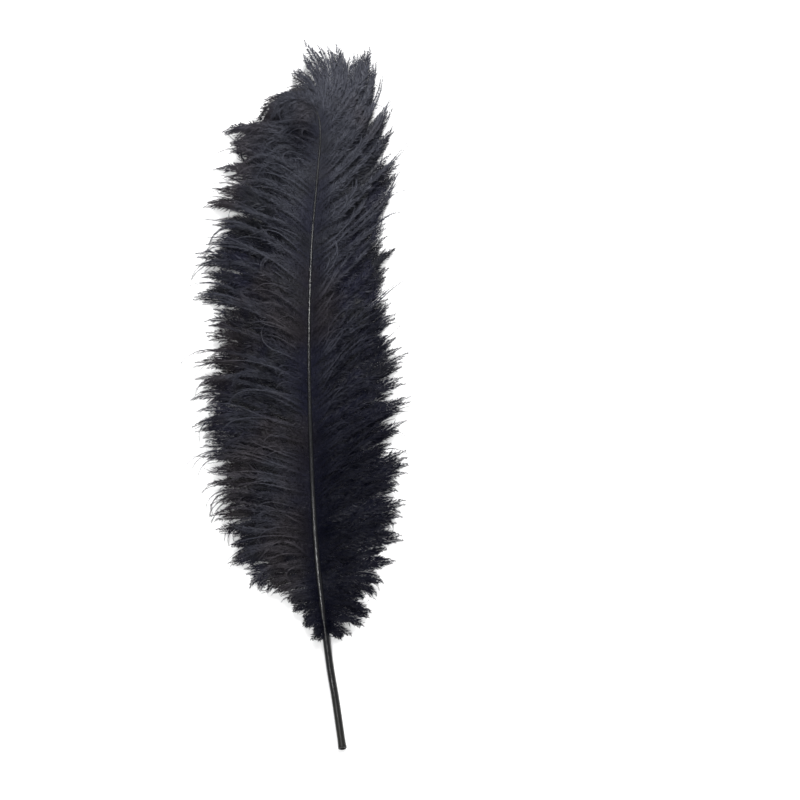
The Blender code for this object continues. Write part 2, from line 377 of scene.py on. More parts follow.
class Shaft:
    """The shaft's middle line, read by the distance from the quill end."""

    def __init__(self):
        start = np.array((QUILL_END[0], QUILL_END[1], 0.0))
        knots = start + np.array(SHAFT_ROUTE) * MM
        ends = np.vstack((knots[0] * 2.0 - knots[1], knots, knots[-1] * 2.0 - knots[-2]))
        route = []
        for a, b, c, d in zip(ends, ends[1:], ends[2:], ends[3:]):
            for step in range(ROUTE_STEPS):
                t = step / ROUTE_STEPS
                route.append(
                    0.5 * (2.0 * b + (c - a) * t + (2.0 * a - 5.0 * b + 4.0 * c - d) * t * t
                           + (3.0 * b - a - 3.0 * c + d) * t ** 3)
                )
        route.append(knots[-1])
        self.points = np.array(route)
        spans = np.linalg.norm(np.diff(self.points, axis=0), axis=1)
        self.places = np.concatenate(((0.0,), np.cumsum(spans)))
        self.length = self.places[-1]

    def at(self, distance):
        """Points and directions at distances along the shaft."""
        distance = np.clip(distance, 0.0, self.length)
        point = np.stack([np.interp(distance, self.places, self.points[:, i]) for i in range(3)], axis=-1)
        piece = np.clip(np.searchsorted(self.places, distance) - 1, 0, len(self.points) - 2)
        return point, unit(self.points[piece + 1] - self.points[piece])

    def vane(self, place):
        """Points and directions at places along the vane."""
        return self.at(VANE_START + (self.length - VANE_START) * place)

    def radius(self, distance):
        """Even along the quill but for its flared end, then an even taper to the head."""
        flare = END_FLARE * np.clip(1.0 - distance / FLARE_REACH, 0.0, 1.0)
        share = np.clip((distance - VANE_START) / (self.length - VANE_START), 0.0, 1.0)
        return QUILL_RADIUS + flare + (RACHIS_TIP_RADIUS - QUILL_RADIUS) * share ** TAPER_GROWTH


SHAFT = Shaft()


def lock_habits(side, index):
    """How one lock of the solid grows: the same rule and the same chance as there."""
    key = index * 2 + (side > 0)
    return {
        habit: usual + chance * scatter(key, channel)
        for channel, (habit, usual, chance) in enumerate(LOCK_CHANCES, start=FIRST_CHANNEL)
    }


def grow(side, habits):
    """Routes of many barbs at once, from inside the shaft to their tips."""
    habits = {key: values[:, None] for key, values in habits.items()}
    place = habits["place"][:, 0]
    root, ahead = SHAFT.vane(place)
    heading = np.arctan2(ahead[:, 1], ahead[:, 0])[:, None]
    leaving = along(SIDES[side]["leaving"], place)[:, None] + habits["leaving"]
    bend = along(SIDES[side]["bend"], place)[:, None] + habits["bend"]
    length = along(SIDES[side]["length"], place)[:, None] * habits["stretch"] * MM
    t = (np.arange(BARB_STEPS) + 0.5) / BARB_STEPS
    turn = leaving + bend * t ** BEND_GROWTH
    turn = turn + habits["curl"] * late(CURL_FROM, CURL_GROWTH, t)
    turn = turn + habits["sway"] * np.sin(SWAY_RADIANS * t + habits["phase"])
    turn = turn + habits["loop"] * late(LOOP_FROM, LOOP_GROWTH, t)
    angle = heading - side * np.radians(turn)
    step = length / BARB_STEPS
    t = (np.arange(BARB_STEPS) + 1.0) / BARB_STEPS
    points = np.zeros((len(place), BARB_STEPS + 1, 3))
    points[:, 0] = root
    points[:, 1:, 0] = root[:, None, 0] + np.cumsum(np.cos(angle) * step, axis=1)
    points[:, 1:, 1] = root[:, None, 1] + np.cumsum(np.sin(angle) * step, axis=1)
    tip_drop = habits["tip_height"] * MM - root[:, None, 2]
    lift = habits["arch"] * MM * arched(t)
    waves = length * t / RIPPLE_LENGTH * 2.0 * math.pi + habits["ripple_phase"]
    lift = lift + habits["ripple"] * MM * np.sin(waves) * soft_step(*RIPPLE_START, t)
    points[:, 1:, 2] = root[:, None, 2] + tip_drop * soft_step(0.0, 1.0, t) + lift
    return points


class Wire:
    """A shader socket that can be used in Python sums."""

    def __init__(self, paint, socket):
        self.paint = paint
        self.socket = socket

    def math(self, operation, first, second):
        return self.paint.node("ShaderNodeMath", {"operation": operation}, {0: first, 1: second})

    def __add__(self, other):
        return self.math("ADD", self, other)

    def __sub__(self, other):
        return self.math("SUBTRACT", self, other)

    def __rsub__(self, other):
        return self.math("SUBTRACT", other, self)

    def __mul__(self, other):
        return self.math("MULTIPLY", self, other)

    __radd__ = __add__
    __rmul__ = __mul__

    def clamped(self):
        return self.math("MINIMUM", self.math("MAXIMUM", self, 0.0), 1.0)


class Paint:
    """One material and the nodes that make its finish."""

    def __init__(self, name):
        self.material = bpy.data.materials.new(name)
        self.material.use_nodes = True
        self.tree = self.material.node_tree
        self.shader = self.tree.nodes["Principled BSDF"]

    def node(self, kind, settings=None, sockets=None, output=0):
        """Adds a node, sets it up, feeds its sockets and gives one of its outputs."""
        made = self.tree.nodes.new(kind)
        for key, value in (settings or {}).items():
            setattr(made, key, value)
        for key, value in (sockets or {}).items():
            self.feed(made.inputs[key], value)
        return Wire(self, made.outputs[output])

    def feed(self, socket, value):
        if isinstance(value, Wire):
            self.tree.links.new(value.socket, socket)
        else:
            socket.default_value = value

    def set(self, **sockets):
        """Feeds the surface shader; an underscore in a name stands for a space."""
        for key, value in sockets.items():
            self.feed(self.shader.inputs[key.replace("_", " ")], value)

    def blend(self, mask, first, second):
        """A colour that goes from the first to the second as the mask rises."""
        first, second = (value if isinstance(value, Wire) else (*value, 1.0) for value in (first, second))
        sockets = {"Factor": mask, "A": first, "B": second}
        return self.node("ShaderNodeMix", {"data_type": "RGBA"}, sockets, output="Result")

    def held(self, name):
        """A value that the mesh carries at each of its points."""
        return self.node("ShaderNodeAttribute", {"attribute_name": name}, output="Fac")

    def cloud(self, vector, scale, detail, roughness):
        return self.node(
            "ShaderNodeTexNoise", None,
            {"Vector": vector, "Scale": scale, "Detail": detail, "Roughness": roughness},
        )

    def stepped(self, value, low, high):
        """0 where the value is below low, 1 above high, with a smooth rise."""
        return self.node(
            "ShaderNodeMapRange", {"interpolation_type": "SMOOTHSTEP"},
            {"Value": value, "From Min": low, "From Max": high},
        )


class VaneMasks:
    """Where on the vane the paint is: the spot, masks from 0 to 1, and how far it is from the crook."""

    def __init__(self, paint):
        self.spot = paint.node("ShaderNodeTexCoord", output="Object")
        self.place = paint.held("place")
        self.reach = paint.held("reach")
        self.tone = paint.held("tone")
        self.right = paint.stepped(paint.node("ShaderNodeSeparateXYZ", None, {0: self.spot}), *RIGHT_SIDE)
        self.low = 1.0 - paint.stepped(self.place, *LOW_PART)
        self.head = paint.stepped(self.place, *HEAD_PART)
        self.away = paint.stepped(self.reach, *BESIDE_SHAFT)
        flat = paint.node("ShaderNodeVectorMath", {"operation": "MULTIPLY"}, {0: self.spot, 1: CROOK_SHAPE})
        self.crook = paint.node(
            "ShaderNodeVectorMath", {"operation": "DISTANCE"}, {0: flat, 1: CROOK_MIDDLE}, output="Value",
        )


def dye_and_painted_light(paint, masks, colours):
    """The dye: blue-black or neutral in patches, brownish low on the left, paler at worn ends and by random
    tone; with painted light, paler toward the head, on raised barbs and on the crest round the crooked head,
    and painted shade, darker under the wisps and low on the right.
    """
    right = masks.right
    tone = masks.tone
    patches = paint.cloud(masks.spot, *DYE_CLOUD)
    warm_patches = paint.cloud(masks.spot, *WARM_CLOUD)
    cool = paint.stepped(patches + tone * 0.16 - masks.place * 0.12, *COOL_STEP)
    warm_share = (masks.low * 1.5 + 0.3) * (0.5 - right) * 0.3 + masks.head * 0.1
    warm = paint.stepped(warm_patches + warm_share, *WARM_STEP) * 0.8
    dye = paint.blend(cool, colours.neutral_black, colours.blue_black)
    dye = paint.blend(warm, dye, colours.brown_black)
    worn_and_painted_light = paint.blend(warm, colours.worn_grey_and_painted_light, colours.worn_brown_and_painted_light)
    ends = paint.stepped(masks.reach, *OUTER_PART) * paint.stepped(tone, *END_TONES)
    # Strokes by tone, which holds random tone, painted shade under the wisps and painted light on raised
    # ones, and paler worn ends
    strokes = (tone - 0.5) * masks.away * 1.4 + ends * 0.4
    # Painted light: paler toward the head, a little more on the right there, as if lit from beyond the head
    painted_head_light = masks.head * (0.34 + 0.52 * masks.away + 0.1 * right)
    # Paler away from the shaft, less so on the right, which is painted darker as shade, as if the light came
    # from the left
    lift = painted_head_light + masks.away * (0.25 - 0.15 * right) + 0.05
    # Painted highlight: a paler ring on the raised crest round the hollow below the crooked head, on the left
    crest_start, crest_end = CROOK_HIGHLIGHT_RING
    painted_crest_highlight = paint.stepped(masks.crook, *crest_start) * (1.0 - paint.stepped(masks.crook, *crest_end))
    # Painted shade: darker low on the right, as if the light came from the left
    paleness_and_painted_light = strokes + lift + painted_crest_highlight * (1.0 - right) * 0.3 - masks.low * right * 0.5
    return paint.blend(paleness_and_painted_light.clamped(), dye, worn_and_painted_light)


def painted_shade_mask(paint, masks):
    """Painted shade: darker low on the right and beside the shaft on the right, as if the light came from the
    left, in patchy dips between the wisps, and in the hollow below the crooked head.
    """
    right = masks.right
    tone = masks.tone
    # Painted shadow in the hollow below the crooked head, lighter on barbs of high tone
    hollow = 1.0 - paint.stepped(masks.crook, *CROOK_SHADE_REACH)
    hollow = hollow * (1.0 - 0.5 * paint.stepped(tone, *HOLLOW_SHADE_TONES))
    # Painted shade in patchy dips between the wisps, out from the shaft
    dips = (1.0 - paint.stepped(paint.cloud(masks.spot, *SHADE_DIP_CLOUD), *SHADE_DIP_STEP)) * masks.away
    dips = dips * (1.0 - paint.stepped(tone, *SHADE_DIP_TONES)) * (1.0 - masks.head * 0.7)
    # Painted shade beside the shaft on the right, below the head
    beside = (1.0 - masks.away) * right * (1.0 - masks.head)
    return (masks.low * right * 1.35 + beside * 0.45 + hollow * 0.9 + dips * 0.68).clamped()


def plumage_paint(colours):
    """Dyed barbs: blue-black, in places neutral or brownish, each barb a little different, with painted light
    on raised barbs and toward the head and painted shade under the wisps, low on the right and in the hollow
    below the crooked head.
    """
    paint = Paint("dyed_barbs")
    masks = VaneMasks(paint)
    colour = dye_and_painted_light(paint, masks, colours)
    # The painted shade is blended over the colour in its own near-black blue
    paint.set(
        Base_Color=paint.blend(painted_shade_mask(paint, masks), colour, colours.painted_shade_black),
        Roughness=0.42 + 0.14 * masks.tone,
        Specular_IOR_Level=0.12,
        Sheen_Weight=0.02,
        Sheen_Roughness=0.4,
        Sheen_Tint=(0.62, 0.66, 0.8, 1.0),
    )
    return paint.material


def shaft_paint(colours):
    """Dyed horn: near black and glossy, streaked along its length, olive and duller at the bare end."""
    paint = Paint("dyed_horn")
    run = paint.held("run")
    turn = paint.held("turn")
    vector = paint.node("ShaderNodeCombineXYZ", None, {0: turn * 9.0, 1: run * 0.04})
    streaks = paint.cloud(vector, *STREAK_CLOUD)
    vector = paint.node("ShaderNodeCombineXYZ", None, {0: turn * 14.0, 1: run * 0.05, 2: 4.0})
    fine = paint.cloud(vector, *FINE_CLOUD)
    bare = 1.0 - paint.stepped(run, *BARE_PART)
    colour = paint.blend(paint.stepped(streaks, *STREAK_STEP), colours.horn_black, colours.horn_grey)
    colour = paint.blend(bare * paint.stepped(fine, *FINE_STEP), colour, colours.horn_olive)
    height = fine + streaks * 0.5
    paint.set(
        Base_Color=colour,
        Roughness=0.14 + 0.08 * fine + 0.16 * paint.stepped(run, *FINE_PART) + 0.2 * bare,
        Specular_IOR_Level=0.28,
        Normal=paint.node("ShaderNodeBump", None, {"Strength": 0.55, "Distance": 0.00008, "Height": height}),
    )
    return paint.material


def put_in_scene(name, data):
    """Makes an object of the data and links it to the scene."""
    obj = bpy.data.objects.new(name, data)
    bpy.context.scene.collection.objects.link(obj)
    return obj


def make_mesh(name, vertices, triangles, values, uv, material, smooth=True):
    """A mesh object from arrays: points, triangles, values held at the points and a flat map."""
    mesh = bpy.data.meshes.new(name)
    mesh.vertices.add(len(vertices))
    mesh.vertices.foreach_set("co", np.ascontiguousarray(vertices, dtype=np.float32).ravel())
    mesh.loops.add(triangles.size)
    mesh.loops.foreach_set("vertex_index", np.ascontiguousarray(triangles, dtype=np.int32).ravel())
    mesh.polygons.add(len(triangles))
    mesh.polygons.foreach_set("loop_start", np.arange(0, triangles.size, 3, dtype=np.int32))
    mesh.polygons.foreach_set("use_smooth", np.full(len(triangles), smooth))
    layer = mesh.uv_layers.new(name="OFBake")
    layer.data.foreach_set("uv", np.ascontiguousarray(uv[triangles.ravel()], dtype=np.float32).ravel())
    for key, numbers in values.items():
        held = mesh.attributes.new(key, "FLOAT", "POINT")
        held.data.foreach_set("value", np.ascontiguousarray(numbers, dtype=np.float32))
    mesh.update(calc_edges=True)
    mesh.validate()
    mesh.materials.append(material)
    return put_in_scene(name, mesh)


def dress(obj):
    """The piece rides with the solid and stands for it."""
    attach(obj, BODY)
    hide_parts(NODE)


class Soup:
    """Collects points and triangles of one piece before they become a mesh."""

    def __init__(self):
        self.vertices = []
        self.triangles = []
        self.uv = []
        self.values = {"reach": [], "place": [], "tone": []}
        self.count = 0

    def add(self, vertices, triangles, uv, values):
        """Takes points with their triangles and map places, and values for each point or for many."""
        shape = vertices.shape[:-1]
        self.vertices.append(vertices.reshape(-1, 3))
        self.triangles.append(triangles + self.count)
        self.uv.append(uv.reshape(-1, 2))
        for key, numbers in values.items():
            self.values[key].append(np.broadcast_to(numbers, shape).ravel())
        self.count += math.prod(shape)

    def finish(self, name, material):
        values = {key: np.concatenate(parts) for key, parts in self.values.items()}
        obj = make_mesh(
            name, np.concatenate(self.vertices), np.concatenate(self.triangles), values,
            np.concatenate(self.uv), material,
        )
        dress(obj)


def read_rows(rows, owner, t):
    """Values of the owners' rows at shares t of their length."""
    where = np.clip(t, 0.0, 1.0) * BARB_STEPS
    low = np.minimum(where.astype(int), BARB_STEPS - 1)
    share = (where - low)[..., None]
    return rows[owner, low] * (1.0 - share) + rows[owner, low + 1] * share


def between_locks(side, middle, likeness):
    """How a strand grows anywhere along the vane: it takes after the locks on both sides of it."""
    rows = [lock_habits(side, index) for index in range(LOCKS_A_SIDE)]
    spot = np.clip(middle * LOCKS_A_SIDE - 0.5, 0.0, LAST_SPOT)
    low = spot.astype(int)
    share = spot - low
    habits = {"place": middle}
    for key in rows[0]:
        values = np.array([row[key] for row in rows])
        habits[key] = values[low] * (1.0 - share) + values[low + 1] * share
    for key, usual in USUAL.items():
        habits[key] = usual + (habits[key] - usual) * likeness
    for key in ("loop", "rise", "ripple", "ripple_phase"):
        habits[key] = np.zeros(len(middle))
    return habits


def vary(habits, change, calm, rng):
    """Gives each strand or barb its own chance; those at the base vary more. Says which run wild."""
    place = habits["place"]
    total = len(place)
    loose = calm * (1.0 + LOOSER_BASE * (1.0 - soft_step(0.0, LOOSE_END, place)))
    for key in ("leaving", "bend", "curl", "sway"):
        habits[key] = habits[key] + rng.normal(0.0, change[key], total) * loose
    ragged = change["ragged_base"] * rng.random(total) * (1.0 - soft_step(0.0, BASE_END, place))
    habits["stretch"] = habits["stretch"] * rng.uniform(*change["length"], total) * (1.0 - ragged)
    rise = rng.uniform(*change["arch"], total) * calm
    habits["arch"] = habits["arch"] + rise
    habits["rise"] = habits["rise"] + rise
    tip_height = habits["tip_height"] + rng.uniform(*change["tip_height"], total)
    habits["tip_height"] = np.maximum(tip_height, LOWEST_TIP)
    habits["phase"] = habits["phase"] + rng.uniform(-PHASE_CHANGE, PHASE_CHANGE, total)
    habits["ripple"] = habits["ripple"] + rng.uniform(*change["ripple"], total)
    habits["ripple_phase"] = habits["ripple_phase"] + rng.uniform(-1.0, 1.0, total) * change["ripple_phase"]
    wild_share = change["wild"] * loose * (1.0 - TIDY_HEAD * soft_step(*HEAD_START, place))
    wild = rng.random(total) < wild_share
    wild_turn = rng.uniform(-WILD_TURN, WILD_TURN, total)
    usual_turn = rng.normal(0.0, change["loop"], total) * calm
    habits["loop"] = habits["loop"] + np.where(wild, wild_turn, usual_turn)
    return wild


def strand_places(indexes, rng):
    """Where the strands of one stretch leave the shaft; they stand closer where it turns over."""
    grid = np.linspace(indexes[0], indexes[-1] + 1, CROWD_STEPS) / LOCKS_A_SIDE
    crowd = 1.0 + HEAD_CROWD * soft_step(*CROWD_START, grid)
    total = round(STRANDS_A_LOCK * len(indexes) * crowd.mean())
    share = (np.cumsum(crowd) - crowd[0]) / (crowd.sum() - crowd[0])
    return np.interp((np.arange(total) + rng.uniform(*SPACING, total)) / total, share, grid)


def end_early(habits, early, rng):
    """Shortens some strands or barbs, whose ends then lie on the vane instead of at its edge."""
    end = rng.uniform(*EARLY_END, len(early))
    root = SHAFT.vane(habits["place"])[0][:, 2] / MM
    height = root + (habits["tip_height"] - root) * soft_step(0.0, 1.0, end)
    height = height + habits["arch"] * arched(end) + EARLY_HEIGHT
    habits["tip_height"] = np.where(early, np.maximum(height, LOWEST_EARLY_TIP), habits["tip_height"])
    habits["arch"] = habits["arch"] * np.where(early, end, 1.0)
    habits["stretch"] = habits["stretch"] * np.where(early, end, 1.0)


def make_strands(side, middle, under, rng):
    """How the strands of one stretch grow: the wisps, and those that lie under them."""
    total = len(middle)
    strands = between_locks(side, middle, np.where(under, UNDER_LIKENESS, LIKENESS))
    base = 1.0 - soft_step(0.0, BASE_END, middle)
    crown = soft_step(*CROWN_START, middle)
    under_calm = UNDER_CALM + (UNDER_LOOSE_ENDS - UNDER_CALM) * np.maximum(base, crown)
    strands["bend"] = strands["bend"] + BASE_DROOP * base
    if side < 0:
        strands["bend"] = strands["bend"] + along(HEAD_DROOP_LEFT, middle)
    vary(strands, STRAND_CHANGE, np.where(under, under_calm, 1.0 + CROWN_LOOSE * crown), rng)
    strands["arch"] = strands["arch"] - UNDER_DEPTH * under
    strands["stretch"] = strands["stretch"] * np.where(under, UNDER_LENGTH, 1.0)
    hook = along(SIDES[side]["hook"], middle) * rng.uniform(0.0, MOST_HOOK, total)
    strands["loop"] = strands["loop"] + hook * ~under
    end_early(strands, ~under & (rng.random(total) < EARLY_SHARE), rng)
    # Painted light and shade in the tone: under strands darker as shade, wisps lighter the more they rise
    over_tone = OVER_TONE + RISE_LIGHT_TONE * strands["rise"]
    strands["tone"] = np.where(under, UNDER_SHADE_TONE, over_tone) + rng.normal(0.0, STRAND_TONE_CHANGE, total)
    return strands


def make_barbs(side, strands, under, counts, rng):
    """How the barbs of the strands grow, and which of them run wild, lie under or run free on top."""
    owner = np.repeat(np.arange(len(counts)), counts)
    total = len(owner)
    turn = np.arange(total) - np.repeat(np.cumsum(counts) - counts, counts)
    barbs = {key: values[owner] for key, values in strands.items()}
    under = under[owner]
    step = (turn + rng.uniform(*BARB_SPACING, total)) / counts[owner] - 0.5
    barbs["place"] = np.clip(barbs["place"] + 2.0 * step / STRANDS_A_LOCK / LOCKS_A_SIDE, 0.0, 1.0)
    wild = vary(barbs, BARB_CHANGE, np.where(under, UNDER_CALM, 1.0), rng)
    steep = along(STEEP_RIGHT, barbs["place"]) * (side > 0)
    free = ~under & ~wild & (turn < FREE_BARBS + (steep > 0.5))
    hook = along(SIDES[side]["hook"], barbs["place"]) + rng.normal(0.0, FREE_TURN, total)
    hook = hook * (1.0 - 0.5 * steep) + STEEP_HOOK * steep
    barbs["bend"] = barbs["bend"] - STEEP_RISE * steep * free
    barbs["loop"] = barbs["loop"] + hook * free
    barbs["arch"] = barbs["arch"] + rng.uniform(*FREE_RISE, total) * free
    end_early(barbs, free & (rng.random(total) < FREE_EARLY), rng)
    barbs.update(owner=owner, under=under, wild=wild, free=free)
    return barbs


def barb_routes(side, indexes, settings, rng):
    """The barbs of one stretch: each strand takes after its locks, and its barbs cling to it."""
    middle = strand_places(indexes, rng)
    under = np.arange(len(middle)) % 2 == 0
    strands = make_strands(side, middle, under, rng)
    counts = np.where(under, settings.under_barbs, settings.barbs_a_strand)
    barbs = make_barbs(side, strands, under, counts, rng)
    owner = barbs["owner"]
    t = np.linspace(0.0, 1.0, BARB_STEPS + 1)
    length = (barbs["stretch"] / strands["stretch"][owner])[:, None]
    target = read_rows(grow(side, strands), owner[:, None], t * length)
    loose = barbs["wild"] | barbs["under"] | barbs["free"]
    hold = np.where(loose, LOOSE_CLING, rng.uniform(*CLING, len(owner)))
    hold = hold[:, None] * soft_step(*CLING_START, t)
    routes = grow(side, barbs)
    routes = routes + (target - routes) * hold[..., None]
    routes[..., 2] = np.maximum(routes[..., 2], LOWEST_BARB)
    lengths = np.linalg.norm(np.diff(routes, axis=1), axis=2).sum(axis=1)
    full_lengths = along(SIDES[side]["length"], barbs["place"]) * MM
    # Free barbs on top get a lighter tone: painted light
    tone = barbs["tone"] + rng.normal(0.0, BARB_TONE_CHANGE, len(owner)) + FREE_LIGHT_TONE * barbs["free"]
    barbs["tone"] = np.clip(tone, 0.0, 1.0)
    barbs.update(routes=routes, lengths=lengths, share=np.minimum(lengths / full_lengths, 1.0))
    return barbs


def cells(total):
    """Corners and size of each barb's own cell in the flat map."""
    rows = math.ceil(total / MAP_COLUMNS)
    index = np.arange(total)
    corner = np.stack(((index % MAP_COLUMNS) / MAP_COLUMNS, (index // MAP_COLUMNS) / rows), axis=-1)
    return corner, np.array((1.0 / MAP_COLUMNS, 1.0 / rows))


def in_cell(corner, size, reach, across):
    """Maps a place on a barb, 0 to 1 along and 0 to 1 across, into its cell with a margin."""
    local = np.stack((reach, across), axis=-1) * (1.0 - 2.0 * CELL_MARGIN) + CELL_MARGIN
    return corner + local * size


def add_stems(soup, barbs, corner, size):
    """The barbs' own stems, as thin three-sided tubes that taper to a hair."""
    picks = np.linspace(0, BARB_STEPS, STEM_RINGS).round().astype(int)
    points = barbs["routes"][:, picks]
    run = unit(np.gradient(points, axis=1))
    aside = unit(np.cross(run, UP))
    rise = np.cross(aside, run)
    t = picks / BARB_STEPS
    radius = ((STEM_RADIUS - STEM_TAPER * t ** STEM_TAPER_GROWTH) * MM)[:, None]
    corners = []
    for k in range(STEM_SIDES):
        angle = 2.0 * math.pi * k / STEM_SIDES + STEM_TURN
        corners.append(points + (aside * math.cos(angle) + rise * math.sin(angle)) * radius)
    vertices = np.stack(corners, axis=2)
    vertices[..., 2] = np.maximum(vertices[..., 2], LOWEST_STEM)
    shape = vertices.shape[:3]
    index = np.arange(math.prod(shape)).reshape(shape)
    near = index[:, :-1]
    far = index[:, 1:]
    faces = []
    for k in range(STEM_SIDES):
        n = (k + 1) % STEM_SIDES
        faces.append(np.stack((near[..., k], near[..., n], far[..., n]), axis=-1).reshape(-1, 3))
        faces.append(np.stack((near[..., k], far[..., n], far[..., k]), axis=-1).reshape(-1, 3))
    triangles = np.concatenate((*faces, index[:, -1]))
    reach = np.broadcast_to(t[None, :, None], shape)
    uv = in_cell(corner[:, None, None, :], size, reach, np.broadcast_to(STEM_ACROSS, shape))
    share, place, tone = (barbs[key][:, None, None] for key in ("share", "place", "tone"))
    soup.add(vertices, triangles, uv, {"reach": reach * share, "place": place, "tone": tone})


def add_barbules(soup, barbs, corner, size, settings, rng):
    """The fine barbules on both sides of each barb, as bent slivers pointed at both ends."""
    counts = (barbs["lengths"] / MM * settings.barbules_a_mm).round().astype(int)
    counts = np.maximum(counts, FEWEST_BARBULES)
    counts = np.where(barbs["wild"], counts // 2, counts)
    owner = np.repeat(np.arange(len(counts)), counts)
    total = len(owner)
    turn = np.arange(total) - np.repeat(np.cumsum(counts) - counts, counts)
    t = FIRST_BARBULE + (1.0 - FIRST_BARBULE) * (turn + rng.random(total)) / counts[owner]
    root = read_rows(barbs["routes"], owner, t)
    ahead = unit(read_rows(unit(np.gradient(barbs["routes"], axis=1)), owner, t))
    aside = unit(np.cross(ahead, UP))
    rise = np.cross(aside, ahead)
    hand = np.where(rng.random(total) < 0.5, -1.0, 1.0)
    fluff = 1.0 - soft_step(0.0, FLUFF_END, barbs["place"])[owner]
    under = barbs["under"][owner]
    free = barbs["free"][owner]
    stray = rng.random(total) < settings.stray_share * np.where(free, FREE_STRAYS, 1.0)
    outer = soft_step(*OUTER_START, t)
    spread = STAND_OFF - np.where(under, STAND_OFF_LESS_UNDER, STAND_OFF_LESS) * outer
    spread = spread + STAND_OFF_MORE_BASE * fluff - STAND_OFF_LESS_FREE * free
    spread = spread + rng.normal(0.0, STAND_OFF_CHANGE, total)
    spread = np.radians(spread + rng.uniform(*STRAY_STAND_OFF, total) * stray)
    roll = rng.normal(0.0, ROLL + np.where(under, ROLL_MORE_UNDER, ROLL_MORE) * outer, total)
    out = aside * (hand * np.cos(roll))[:, None] + rise * np.sin(roll)[:, None]
    heading = ahead * np.cos(spread)[:, None] + out * np.sin(spread)[:, None]
    near_tip = np.where(under, soft_step(*TIP_START_UNDER, t), soft_step(*TIP_START, t))
    length = settings.barbule_length * (ROOT_LENGTH + (1.0 - ROOT_LENGTH) * outer)
    length = length * (1.0 - TIP_SHORTER * near_tip) * rng.uniform(*BARBULE_LENGTHS, total)
    length = length * (1.0 - BASE_SHORTER * fluff + STRAY_LONGER * stray)
    length = (length * np.where(free, FREE_LENGTH, np.where(under, UNDER_BARBULE_LENGTH, 1.0)))[:, None]
    middle = root + heading * length * MIDDLE_SHARE
    lean = ahead * LEAN_AHEAD + rng.normal(0.0, LEAN_CHANGE, (total, 3)) - UP * LEAN_DOWN
    end = middle + unit(heading + lean) * length * (1.0 - MIDDLE_SHARE)
    facing = unit(rise + rng.normal(0.0, FACING_CHANGE, (total, 3)))
    slim = (1.0 - TIP_SLIMMER * soft_step(*SLIM_START, t)) * np.where(under, UNDER_WIDTH, 1.0)
    across = unit(np.cross(heading, facing)) * (settings.barbule_width * 0.5 * slim)[:, None]
    vertices = np.stack((root, middle - across, end, middle + across), axis=1)
    lowest = (LOWEST_BARBULE + LOWEST_CHANGE * rng.random((total, 1))) * MM
    vertices[..., 2] = np.maximum(vertices[..., 2], lowest)
    first = np.arange(total)[:, None] * 4
    triangles = np.concatenate((first + (0, 1, 2), first + (0, 2, 3)))
    map_reach = np.clip(t[:, None] + BARBULE_ALONG, 0.0, 1.0)
    uv = in_cell(corner[owner][:, None, :], size, map_reach, 0.5 + hand[:, None] * BARBULE_ACROSS)
    tone = np.clip(barbs["tone"][owner] + rng.normal(0.0, BARBULE_TONE_CHANGE, total), 0.0, 1.0)
    values = {"reach": t * barbs["share"][owner], "place": barbs["place"][owner], "tone": tone}
    soup.add(vertices, triangles, uv, {key: numbers[:, None] for key, numbers in values.items()})


def make_vane(name, side, indexes, settings, material, seed):
    """One stretch of the vane on one side of the shaft."""
    rng = np.random.default_rng(seed)
    barbs = barb_routes(side, indexes, settings, rng)
    corner, size = cells(len(barbs["place"]))
    soup = Soup()
    add_stems(soup, barbs, corner, size)
    add_barbules(soup, barbs, corner, size, settings, rng)
    soup.finish(name, material)


def shaft_section(share, turns):
    """The shaft's outline: round at the bare quill, squarish with a groove below along the vane."""
    angle = turns * 2.0 * math.pi
    square = SQUARENESS * soft_step(*SQUARE_START, share) * (1.0 + np.cos(4.0 * angle)) * 0.25
    below = np.clip(-np.cos(angle), 0.0, 1.0) ** GROOVE_SHARPNESS
    groove = GROOVE_DEPTH * soft_step(*GROOVE_START, share) * below
    return np.stack((np.sin(angle), np.cos(angle)), axis=-1) * (1.0 - square - groove)[:, None]


def shaft_rings(turns):
    """The rings of the hollow and of the shaft, both end points, and how far along each ring is."""
    cut_stations = np.linspace(0.0, CUT_REACH * MM, CUT_RINGS)
    stations = np.concatenate((cut_stations, np.linspace(PLAIN_START * MM, SHAFT.length, PLAIN_RINGS)))
    points, ahead = SHAFT.at(stations)
    radii = SHAFT.radius(stations)
    aside = unit(np.cross(ahead, UP))
    rise = np.cross(aside, ahead)
    rings = []
    for i, station in enumerate(stations):
        outline = shaft_section(station / SHAFT.length, turns) * radii[i]
        rings.append(points[i] + aside[i] * outline[:, :1] + rise[i] * outline[:, 1:])
    shift = (rings[0][:, 2] - points[0][2] + radii[0]) * math.tan(CUT_SLOPE)
    for i in range(CUT_RINGS):
        fade = (1.0 - i / (CUT_RINGS - 1)) ** 2
        rings[i] += ahead[i] * (shift * fade)[:, None]
    lip = points[0] + (rings[0] - points[0]) * BORE_SHARE + ahead[0] * BORE_LIP * MM
    bore = [lip + ahead[0] * depth * MM for depth in BORE_DEPTHS]
    bore_end = bore[0].mean(axis=0) + ahead[0] * BORE_POINT * MM
    head_end = points[-1] + ahead[-1] * HEAD_POINT * MM
    run = np.concatenate((np.zeros(len(bore)), stations)) / MM
    return np.array(bore + rings), np.array((bore_end, head_end)), run


